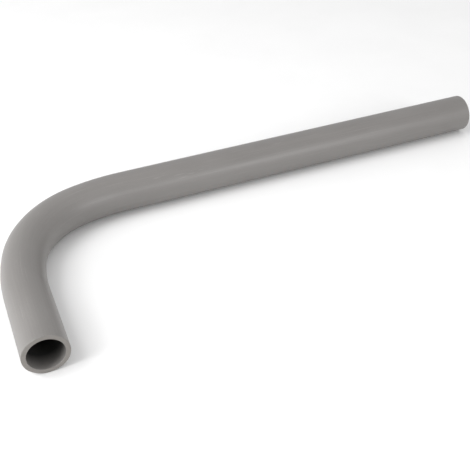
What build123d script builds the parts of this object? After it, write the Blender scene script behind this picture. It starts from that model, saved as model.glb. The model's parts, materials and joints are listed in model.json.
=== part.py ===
from build123d import *
import os

# Rigid PVC conduit elbow: one length of thick-walled tube, heated and bent through a right angle.
# A short leg and a long leg leave the bend, and both ends are plain square cuts with broken edges.
#
# Millimetres, +Z up. The tube lies on its side with its centre line in the plane Z = 0.
# The origin is the centre of the short leg's mouth: the short leg runs from it along +Y,
# the bend turns from +Y to +X, and the long leg runs on along +X.

# Driving dimensions
outside_diameter = 25.0
wall = 2.6
short_straight = 47.5
long_straight = 259.0
bend_angle = 90.0
main_radius = 58.5  # of the centre line, through the middle of the bend
easing_radius = 119.0  # of the centre line, where each leg runs into the bend
easing_angle = 15.0  # turned by each easing arc
outer_edge_break = 0.4
inner_edge_break = 0.3
seam_angle = 30.0  # turns the faces' seam lines about the centre line, away from the bend's plane

# Derived dimensions
outside_radius = outside_diameter / 2
bore_radius = outside_radius - wall
main_angle = bend_angle - 2 * easing_angle


def centre_line():
    """Straight, easing arc, main arc, easing arc, straight, each one tangent to the one before."""
    short_leg = Line((0, 0), (0, short_straight))
    runs = [short_leg]
    for radius, angle in (
        (easing_radius, easing_angle),
        (main_radius, main_angle),
        (easing_radius, easing_angle),
    ):
        runs.append(JernArc(runs[-1] @ 1, runs[-1] % 1, radius, -angle))
    bend_end = runs[-1] @ 1
    runs.append(Line(bend_end, bend_end + long_straight * (runs[-1] % 1)))
    return Wire(runs)


def end_edges(tube, mouth, radius):
    """The circles of one radius around one mouth of the tube."""
    return [
        edge
        for edge in tube.edges().filter_by(GeomType.CIRCLE)
        if abs(edge.radius - radius) < 0.01 and (edge.arc_center - mouth).length < 0.01
    ]


def elbow_tube():
    """The bent tube, with its sharp edges broken at both ends."""
    path = centre_line()
    seam_side = Vector(1, 0, 0).rotate(Axis.Y, seam_angle)
    mouth_plane = Plane(origin=path @ 0, x_dir=seam_side, z_dir=path % 0)
    section = mouth_plane * (Circle(outside_radius) - Circle(bore_radius))
    tube = sweep(section, path=path)
    for mouth in (path @ 0, path @ 1):
        tube = chamfer(end_edges(tube, mouth, outside_radius), outer_edge_break)
        tube = chamfer(end_edges(tube, mouth, bore_radius), inner_edge_break)
    return tube


os.makedirs("parts", exist_ok=True)
export_step(elbow_tube(), "parts/elbow_tube.step")
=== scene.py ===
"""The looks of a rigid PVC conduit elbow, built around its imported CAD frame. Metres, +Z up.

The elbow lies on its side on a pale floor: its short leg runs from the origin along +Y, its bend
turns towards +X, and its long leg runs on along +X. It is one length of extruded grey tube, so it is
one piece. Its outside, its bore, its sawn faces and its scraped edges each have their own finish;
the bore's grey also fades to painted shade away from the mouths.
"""

import json
import math

import bmesh
import bpy
from mathutils import Matrix, Vector, noise


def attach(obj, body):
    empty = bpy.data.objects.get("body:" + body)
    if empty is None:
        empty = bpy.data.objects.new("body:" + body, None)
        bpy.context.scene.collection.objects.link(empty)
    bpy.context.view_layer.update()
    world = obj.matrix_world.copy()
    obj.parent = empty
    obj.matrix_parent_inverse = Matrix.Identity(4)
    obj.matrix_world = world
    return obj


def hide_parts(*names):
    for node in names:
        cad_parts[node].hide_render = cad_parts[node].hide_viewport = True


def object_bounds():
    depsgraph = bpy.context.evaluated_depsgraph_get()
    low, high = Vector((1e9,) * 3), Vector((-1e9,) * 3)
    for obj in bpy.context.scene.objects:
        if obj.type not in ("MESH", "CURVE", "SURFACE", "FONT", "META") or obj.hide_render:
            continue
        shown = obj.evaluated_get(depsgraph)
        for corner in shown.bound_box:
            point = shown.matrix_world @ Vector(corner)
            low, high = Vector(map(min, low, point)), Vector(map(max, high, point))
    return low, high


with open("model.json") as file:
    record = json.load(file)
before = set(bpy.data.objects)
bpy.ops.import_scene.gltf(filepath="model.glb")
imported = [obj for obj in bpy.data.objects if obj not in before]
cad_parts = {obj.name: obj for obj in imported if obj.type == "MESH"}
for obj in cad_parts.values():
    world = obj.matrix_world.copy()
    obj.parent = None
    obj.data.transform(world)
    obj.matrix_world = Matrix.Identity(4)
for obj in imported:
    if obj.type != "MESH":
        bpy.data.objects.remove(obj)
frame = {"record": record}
cad_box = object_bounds()

# Sizes from the record's mounts
mounts = {mount["name"]: mount for mount in frame["record"]["mounts"]}
short_mouth = Vector(mounts["short_leg_spigot"]["pos_m"])
long_mouth = Vector(mounts["long_leg_spigot"]["pos_m"])
outside_radius = mounts["short_leg_spigot"]["dims"]["r_mm"] / 1000
bore_radius = mounts["short_leg_bore"]["dims"]["r_mm"] / 1000

# Sizes that the mounts don't give, the same as in the CAD source
MAIN_RADIUS = 0.0585  # of the centre line, through the middle of the bend
EASING_ANGLE = math.radians(15)  # turned by the easing arc at each end of the bend
OUTER_EDGE = 0.0004  # breaks of the sawn edges
INNER_EDGE = 0.0003

# The bend's tangent length, and the easing arcs' radius that gives it
short_straight = mounts["short_leg_spigot"]["dims"]["length_mm"] / 1000 + OUTER_EDGE
tangent_length = long_mouth.y - short_straight
easing_radius = tangent_length - MAIN_RADIUS * (math.cos(EASING_ANGLE) - math.sin(EASING_ANGLE))
easing_radius /= 1 - math.cos(EASING_ANGLE) + math.sin(EASING_ANGLE)
long_straight = long_mouth.x - tangent_length

# Fineness of the mesh
AROUND = 144  # points round each ring
RING_STEP = 0.0015  # between rings in the bend
LEG_STEP = 0.004  # between rings on the straight legs
EDGE_STEPS = 4  # facets across each broken edge
SUPPORT = 0.00008  # from a broken edge to the ring that keeps its neighbour's shading flat

# How unevenly the scraper broke the sawn edges
SCRAPE_MEAN = 0.85  # of the full break
SCRAPE_SWING = 0.25
SCRAPE_WAVES = 1.6  # how often it changes on the way round
LONG_END_SEED = 7.0
SHORT_END_SEED = 3.0

SURFACES = ("outside", "bore", "face", "edge")  # one material slot each, in this order


def centre_line():
    """The centre line from the short mouth to the long one, as (distance along, point, heading)."""
    easing_length = easing_radius * EASING_ANGLE
    main_angle = math.pi / 2 - 2 * EASING_ANGLE
    runs = (
        (short_straight, 0, LEG_STEP),
        (easing_length, EASING_ANGLE, RING_STEP),
        (MAIN_RADIUS * main_angle, main_angle, RING_STEP),
        (easing_length, EASING_ANGLE, RING_STEP),
        (long_straight, 0, LEG_STEP),
    )
    along, point, heading = 0.0, short_mouth.copy(), math.pi / 2
    stations = [(along, point, heading)]
    for length, turn, step in runs:
        steps = math.ceil(length / step)
        turned = turn / steps
        chord = length / steps
        if turned:
            chord *= math.sin(turned / 2) / (turned / 2)
        for _ in range(steps):
            middle = heading - turned / 2
            point = point + chord * Vector((math.cos(middle), math.sin(middle), 0))
            along, heading = along + length / steps, heading - turned
            stations.append((along, point, heading))
    return stations


def lip():
    """An end's profile from its bore round to its outside. Each row is the surface it lies on, the
    edge it belongs to, and how deep and how far from that edge's wall it is, both as shares of
    that edge's break."""
    rows = []
    for i in range(EDGE_STEPS + 1):
        turn = math.pi / 2 * i / EDGE_STEPS
        rows.append(("edge", "inner", 1 - math.sin(turn), 1 - math.cos(turn)))
    rows.append(("face", "inner", 0, 1 + SUPPORT / INNER_EDGE))
    rows.append(("face", "outer", 0, 1 + SUPPORT / OUTER_EDGE))
    for i in range(EDGE_STEPS, -1, -1):
        turn = math.pi / 2 * i / EDGE_STEPS
        rows.append(("edge", "outer", 1 - math.sin(turn), 1 - math.cos(turn)))
    return rows


def ring(surface, station, radii, depths):
    """One ring of the mesh: the surface it lies on, its points, and where those points would be
    if the tube were laid out straight."""
    along, point, heading = station
    forward = Vector((math.cos(heading), math.sin(heading), 0))
    side = Vector((math.sin(heading), -math.cos(heading), 0))
    up = Vector((0, 0, 1))
    points, unbent = [], []
    for j in range(AROUND):
        angle = 2 * math.pi * j / AROUND
        x, y = radii[j] * math.cos(angle), radii[j] * math.sin(angle)
        points.append(point + x * side + y * up + depths[j] * forward)
        unbent.append((x, y, along + depths[j]))
    return surface, points, unbent


def end_rings(station, inwards, seed):
    """The rings of one sawn end, from its bore to its outside. The scraper that broke the edges
    took a little more in some places than in others."""
    rings = []
    for surface, edge, depth, inset in lip():
        size = INNER_EDGE if edge == "inner" else OUTER_EDGE
        radii, depths = [], []
        for j in range(AROUND):
            angle = 2 * math.pi * j / AROUND
            wave = Vector((SCRAPE_WAVES * math.cos(angle), SCRAPE_WAVES * math.sin(angle), seed))
            here = size * (SCRAPE_MEAN + SCRAPE_SWING * noise.noise(wave))
            radius = bore_radius + here * inset
            if edge == "outer":
                radius = outside_radius - here * inset
            radii.append(radius)
            depths.append(inwards * here * depth)
        rings.append(ring(surface, station, radii, depths))
    return rings


def skin_rings(surface, stations, radius):
    """The rings of the outside or of the bore, between the two ends."""
    near_end = 2 * OUTER_EDGE
    along, point, heading = stations[-1]
    forward = Vector((math.cos(heading), math.sin(heading), 0))
    first = (near_end, short_mouth + Vector((0, near_end, 0)), stations[0][2])
    last = (along - near_end, point - near_end * forward, heading)
    radii, depths = [radius] * AROUND, [0.0] * AROUND
    return [ring(surface, s, radii, depths) for s in [first] + stations[1:-1] + [last]]


def tube_mesh():
    """The whole tube as one closed skin: outside, long end, bore and short end."""
    stations = centre_line()
    rings = skin_rings("outside", stations, outside_radius)
    rings += end_rings(stations[-1], -1, LONG_END_SEED)[::-1]
    rings += skin_rings("bore", stations, bore_radius)[::-1]
    rings += end_rings(stations[0], 1, SHORT_END_SEED)

    faces, slots = [], []
    for i in range(len(rings)):
        here, after = rings[i][0], rings[(i + 1) % len(rings)][0]
        surface = after if here == "edge" else here
        a, b = i * AROUND, (i + 1) % len(rings) * AROUND
        for j in range(AROUND):
            k = (j + 1) % AROUND
            faces.append((a + j, b + j, b + k, a + k))
            slots.append(SURFACES.index(surface))

    mesh = bpy.data.meshes.new("conduit_elbow")
    mesh.from_pydata([point for _, points, _ in rings for point in points], [], faces)
    mesh.polygons.foreach_set("material_index", slots)
    mesh.polygons.foreach_set("use_smooth", [True] * len(faces))
    layer = mesh.attributes.new("unbent", "FLOAT_VECTOR", "POINT")
    places = [number for _, _, unbent in rings for place in unbent for number in place]
    layer.data.foreach_set("vector", places)
    body = bmesh.new()
    body.from_mesh(mesh)
    bmesh.ops.recalc_face_normals(body, faces=body.faces)
    body.to_mesh(mesh)
    body.free()
    return mesh


# Materials

PVC_IOR = 1.53
PVC_DARK = (0.177, 0.168, 0.161, 1)
PVC_LIGHT = (0.203, 0.194, 0.186, 1)
PVC_SCUFF = (0.265, 0.255, 0.245, 1)
BORE_DARK = (0.21, 0.2, 0.191, 1)
BORE_LIGHT = (0.24, 0.229, 0.219, 1)
# Painted shade: the near-black grey that the bore's colour fades to deep inside, away from the
# mouths
BORE_PAINTED_SHADE = (0.028, 0.027, 0.026, 1)
BORE_SHADE_FADE = (0.0005, 0.011)  # depths in the bore between which its grey fades to the near-black painted shade
SAWN_DARK = (0.184, 0.172, 0.158, 1)
SAWN_LIGHT = (0.227, 0.212, 0.197, 1)
SCRAPED_DARK = (0.172, 0.163, 0.153, 1)
SCRAPED_LIGHT = (0.228, 0.217, 0.203, 1)
CARD_DARK = (0.88, 0.88, 0.88, 1)
CARD_LIGHT = (0.9, 0.9, 0.9, 1)
NOISE_RANGE = (0.36, 0.64)  # where most values of a noise lie, and of a blend of noises


def new_material(name):
    """An empty node material: its node tree, and its Principled shader."""
    material = bpy.data.materials.new(name)
    material.use_nodes = True
    tree = material.node_tree
    tree.nodes.clear()
    output = tree.nodes.new("ShaderNodeOutputMaterial")
    shader = tree.nodes.new("ShaderNodeBsdfPrincipled")
    tree.links.new(shader.outputs["BSDF"], output.inputs["Surface"])
    return material, tree, shader


def feed(tree, socket, value):
    """Gives a socket a number, a colour or another node's output."""
    if isinstance(value, bpy.types.NodeSocket):
        tree.links.new(value, socket)
    else:
        socket.default_value = value


def unbent_place(tree):
    """Where a point lies on the tube laid out straight: X and Y across it, Z along it."""
    attribute = tree.nodes.new("ShaderNodeAttribute")
    attribute.attribute_name = "unbent"
    return attribute.outputs["Vector"]


def pattern(tree, place, size, detail=2.0, roughness=0.5, turn=(0, 0, 0), offset=(0, 0, 0)):
    """Noise from 0 to 1 whose patches are about size = (x, y, z) metres."""
    mapping = tree.nodes.new("ShaderNodeMapping")
    feed(tree, mapping.inputs["Vector"], place)
    mapping.inputs["Location"].default_value = offset
    mapping.inputs["Rotation"].default_value = turn
    mapping.inputs["Scale"].default_value = [1 / s for s in size]
    texture = tree.nodes.new("ShaderNodeTexNoise")
    feed(tree, texture.inputs["Vector"], mapping.outputs["Vector"])
    texture.inputs["Scale"].default_value = 1.0
    texture.inputs["Detail"].default_value = detail
    texture.inputs["Roughness"].default_value = roughness
    return texture.outputs["Fac"]


def spread(tree, value, low, high, to_low, to_high):
    """value from low..high, stretched to to_low..to_high and held there."""
    node = tree.nodes.new("ShaderNodeMapRange")
    node.clamp = True
    feed(tree, node.inputs["Value"], value)
    node.inputs["From Min"].default_value = low
    node.inputs["From Max"].default_value = high
    node.inputs["To Min"].default_value = to_low
    node.inputs["To Max"].default_value = to_high
    return node.outputs["Result"]


def toned(tree, value, to_low=0, to_high=1):
    """A noise or a blend of noises, stretched from NOISE_RANGE to to_low..to_high."""
    return spread(tree, value, *NOISE_RANGE, to_low, to_high)


def maths(tree, operation, a, b):
    """One step of arithmetic on numbers or other nodes' outputs."""
    node = tree.nodes.new("ShaderNodeMath")
    node.operation = operation
    feed(tree, node.inputs[0], a)
    feed(tree, node.inputs[1], b)
    return node.outputs["Value"]


def weighted(tree, parts):
    """The sum of (weight, value) pairs."""
    total = None
    for weight, value in parts:
        term = maths(tree, "MULTIPLY", value, weight)
        total = term if total is None else maths(tree, "ADD", total, term)
    return total


def blended(tree, share, a, b):
    """Colour a where share is 0, and b where it is 1."""
    node = tree.nodes.new("ShaderNodeMix")
    node.data_type = "RGBA"
    feed(tree, node.inputs["Factor"], share)
    feed(tree, node.inputs["A"], a)
    feed(tree, node.inputs["B"], b)
    return node.outputs["Result"]


def relief(tree, shader, height, depth):
    """Bump from a height of 0 to 1, that many metres deep."""
    bump = tree.nodes.new("ShaderNodeBump")
    bump.inputs["Strength"].default_value = 1.0
    bump.inputs["Distance"].default_value = depth
    feed(tree, bump.inputs["Height"], height)
    feed(tree, shader.inputs["Normal"], bump.outputs["Normal"])


def outside_material():
    """Grey PVC-U as extruded: faint mottling, lengthwise die lines, a fine grain, light scuffs and
    thin drag marks."""
    material, tree, shader = new_material("pvc")
    place = unbent_place(tree)
    mottle = pattern(tree, place, (0.014, 0.014, 0.04), detail=3.0)
    die_lines = pattern(tree, place, (0.0009, 0.0009, 0.16), detail=3.0, roughness=0.6)
    grain = pattern(tree, place, (0.0005, 0.0005, 0.0007), detail=2.0)
    tone = weighted(tree, ((0.45, mottle), (0.3, die_lines), (0.25, grain)))
    colour = blended(tree, toned(tree, tone), PVC_DARK, PVC_LIGHT)

    scratches = pattern(tree, place, (0.0006, 0.0006, 0.011), turn=(0.25, 0.1, 0), detail=1.0)
    rubbed = pattern(tree, place, (0.011, 0.011, 0.03), detail=2.0, offset=(0.3, 0.7, 0.2))
    scratches = spread(tree, scratches, 0.66, 0.76, 0, 1)
    rubbed = spread(tree, rubbed, 0.53, 0.68, 0, 0.7)
    drag_marks = pattern(tree, place, (0.0004, 0.0004, 0.05), detail=1.0, offset=(0.1, 0.4, 0.6))
    drag_marks = spread(tree, drag_marks, 0.68, 0.76, 0, 0.6)
    scuffs = maths(tree, "MAXIMUM", maths(tree, "MULTIPLY", scratches, rubbed), drag_marks)
    feed(tree, shader.inputs["Base Color"], blended(tree, scuffs, colour, PVC_SCUFF))

    shine = weighted(tree, ((0.6, mottle), (0.4, die_lines)))
    roughness = toned(tree, shine, 0.37, 0.47)
    roughness = maths(tree, "ADD", roughness, maths(tree, "MULTIPLY", scuffs, 0.3))
    feed(tree, shader.inputs["Roughness"], roughness)
    shader.inputs["IOR"].default_value = PVC_IOR
    relief(tree, shader, weighted(tree, ((0.55, die_lines), (0.45, grain))), 0.00004)
    return material


def depth_inside(tree, place):
    """How far along the tube a point is from the nearer mouth."""
    separate = tree.nodes.new("ShaderNodeSeparateXYZ")
    feed(tree, separate.inputs["Vector"], place)
    along = separate.outputs["Z"]
    length = centre_line()[-1][0]
    return maths(tree, "MINIMUM", along, maths(tree, "SUBTRACT", length, along))


def bore_material():
    """The inside: lengthwise lines from the die, and painted shade that darkens its grey away from
    the mouths, so that the depth of the bore looks black."""
    material, tree, shader = new_material("pvc_bore")
    place = unbent_place(tree)
    mottle = pattern(tree, place, (0.008, 0.008, 0.02), detail=3.0)
    die_lines = pattern(tree, place, (0.0006, 0.0006, 0.12), detail=3.0, roughness=0.6)
    tone = weighted(tree, ((0.5, mottle), (0.5, die_lines)))
    tone = toned(tree, tone)
    # Painted shade: away from the nearer mouth the bore's grey fades to near black, darker with
    # depth
    deep = spread(tree, depth_inside(tree, place), *BORE_SHADE_FADE, 0, 1)
    colour = blended(tree, deep, blended(tree, tone, BORE_DARK, BORE_LIGHT), BORE_PAINTED_SHADE)
    feed(tree, shader.inputs["Base Color"], colour)
    feed(tree, shader.inputs["Roughness"], toned(tree, mottle, 0.4, 0.5))
    shader.inputs["IOR"].default_value = PVC_IOR
    relief(tree, shader, die_lines, 0.00004)
    return material


def sawn_material():
    """The sawn faces: straight saw marks across a duller, slightly paler surface."""
    material, tree, shader = new_material("pvc_sawn")
    place = unbent_place(tree)
    saw_marks = pattern(tree, place, (0.012, 0.00022, 0.012), turn=(0, 0, 0.6), detail=2.0)
    crumbs = pattern(tree, place, (0.0004, 0.0004, 0.0004), detail=3.0)
    patches = pattern(tree, place, (0.005, 0.005, 0.005), detail=2.0)
    tone = weighted(tree, ((0.4, saw_marks), (0.3, crumbs), (0.3, patches)))
    tone = toned(tree, tone)
    feed(tree, shader.inputs["Base Color"], blended(tree, tone, SAWN_DARK, SAWN_LIGHT))
    feed(tree, shader.inputs["Roughness"], spread(tree, saw_marks, 0.3, 0.7, 0.55, 0.72))
    shader.inputs["IOR"].default_value = PVC_IOR
    relief(tree, shader, weighted(tree, ((0.7, saw_marks), (0.3, crumbs))), 0.00006)
    return material


def scraped_material():
    """The broken edges, with the scraper's chatter marks."""
    material, tree, shader = new_material("pvc_scraped")
    place = unbent_place(tree)
    chatter = pattern(tree, place, (0.0005, 0.0005, 0.0003), detail=2.0)
    patches = pattern(tree, place, (0.003, 0.003, 0.003), detail=2.0)
    tone = weighted(tree, ((0.5, chatter), (0.5, patches)))
    tone = toned(tree, tone)
    feed(tree, shader.inputs["Base Color"], blended(tree, tone, SCRAPED_DARK, SCRAPED_LIGHT))
    feed(tree, shader.inputs["Roughness"], spread(tree, chatter, 0.3, 0.7, 0.45, 0.6))
    shader.inputs["IOR"].default_value = PVC_IOR
    relief(tree, shader, chatter, 0.00003)
    return material


def floor_material():
    """Smooth matt card, almost white."""
    material, tree, shader = new_material("floor_card")
    place = tree.nodes.new("ShaderNodeNewGeometry").outputs["Position"]
    fibres = pattern(tree, place, (0.05, 0.05, 0.05), detail=3.0)
    tone = spread(tree, fibres, 0.3, 0.7, 0, 1)
    colour = blended(tree, tone, CARD_DARK, CARD_LIGHT)
    feed(tree, shader.inputs["Base Color"], colour)
    shader.inputs["Roughness"].default_value = 0.9
    shader.inputs["Specular IOR Level"].default_value = 0.2
    return material


# Scene


def link(name, data):
    """A new object in the scene, with this mesh, camera or light."""
    thing = bpy.data.objects.new(name, data)
    bpy.context.scene.collection.objects.link(thing)
    return thing


def add_elbow():
    """The elbow, with its materials in the order of SURFACES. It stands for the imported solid."""
    elbow = link("conduit_elbow", tube_mesh())
    for make in (outside_material, bore_material, sawn_material, scraped_material):
        elbow.data.materials.append(make())
    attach(elbow, "root")
    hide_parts("elbow_tube")
    return elbow


FLOOR_REACH = 4.0  # on each side of the elbow's middle


def add_floor():
    """A level floor that the elbow lies on."""
    low, high = cad_box
    middle = (low + high) / 2
    corners = []
    for x, y in ((-1, -1), (1, -1), (1, 1), (-1, 1)):
        corners.append((middle.x + FLOOR_REACH * x, middle.y + FLOOR_REACH * y, low.z))
    mesh = bpy.data.meshes.new("floor")
    mesh.from_pydata(corners, [], [(0, 1, 2, 3)])
    floor = link("floor", mesh)
    mesh.materials.append(floor_material())


CAMERA_AZIMUTH = math.radians(22.66)  # its line of sight, turned from +Y towards +X
CAMERA_ELEVATION = math.radians(37.29)
CAMERA_ROLL = math.radians(-0.665)
CAMERA_DISTANCE = 0.45786  # to the plane of the centre line, along the line of sight
CAMERA_AIM = Vector((-0.03775, -0.01577, 0))  # from the middle of the elbow's box
CAMERA_LENS = 59.16
CAMERA_SENSOR = 36.0


def add_camera():
    """The camera looks down on the elbow from the side of its short mouth."""
    low, high = cad_box
    turn = Matrix.Rotation(-CAMERA_AZIMUTH, 3, "Z")
    turn = turn @ Matrix.Rotation(math.pi / 2 - CAMERA_ELEVATION, 3, "X")
    turn = turn @ Matrix.Rotation(CAMERA_ROLL, 3, "Z")
    aim = (low + high) / 2 + CAMERA_AIM
    data = bpy.data.cameras.new("camera")
    data.lens = CAMERA_LENS
    data.sensor_width = CAMERA_SENSOR
    data.clip_start = 0.01
    data.clip_end = 50.0
    camera = link("camera", data)
    camera.location = aim + turn @ Vector((0, 0, CAMERA_DISTANCE))
    camera.rotation_euler = turn.to_euler()
    bpy.context.scene.camera = camera


ROOM_LIGHT = 0.74
SOFTBOXES = (  # name, azimuth and elevation in degrees, distance and width in metres, watts
    ("left_light", -90, 50, 1.2, 0.7, 6.0),
    ("left_low_light", -95, 20, 0.6, 0.4, 1.0),
    ("mouth_light", -75, 12, 0.8, 0.2, 1.2),
    ("front_light", 25, 24, 1.2, 0.34, 3.15),
)


def add_softbox(name, azimuth, elevation, distance, width, power):
    """A square soft light that faces the middle of the elbow. Its azimuth is measured in degrees
    from -Y towards +X, as seen from above the elbow."""
    low, high = cad_box
    a, e = math.radians(azimuth), math.radians(elevation)
    away = Vector((math.sin(a) * math.cos(e), -math.cos(a) * math.cos(e), math.sin(e)))
    data = bpy.data.lights.new(name, "AREA")
    data.shape = "SQUARE"
    data.size = width
    data.energy = power
    lamp = link(name, data)
    lamp.location = (low + high) / 2 + distance * away
    lamp.rotation_euler = away.to_track_quat("Z", "Y").to_euler()


def add_room_light(strength):
    """Even white light from all round."""
    world = bpy.data.worlds.new("world")
    world.use_nodes = True
    background = world.node_tree.nodes["Background"]
    background.inputs["Color"].default_value = (1, 1, 1, 1)
    background.inputs["Strength"].default_value = strength
    bpy.context.scene.world = world


add_elbow()
add_floor()
add_camera()
add_room_light(ROOM_LIGHT)
for softbox in SOFTBOXES:
    add_softbox(*softbox)
bpy.context.scene.view_settings.view_transform = "Standard"

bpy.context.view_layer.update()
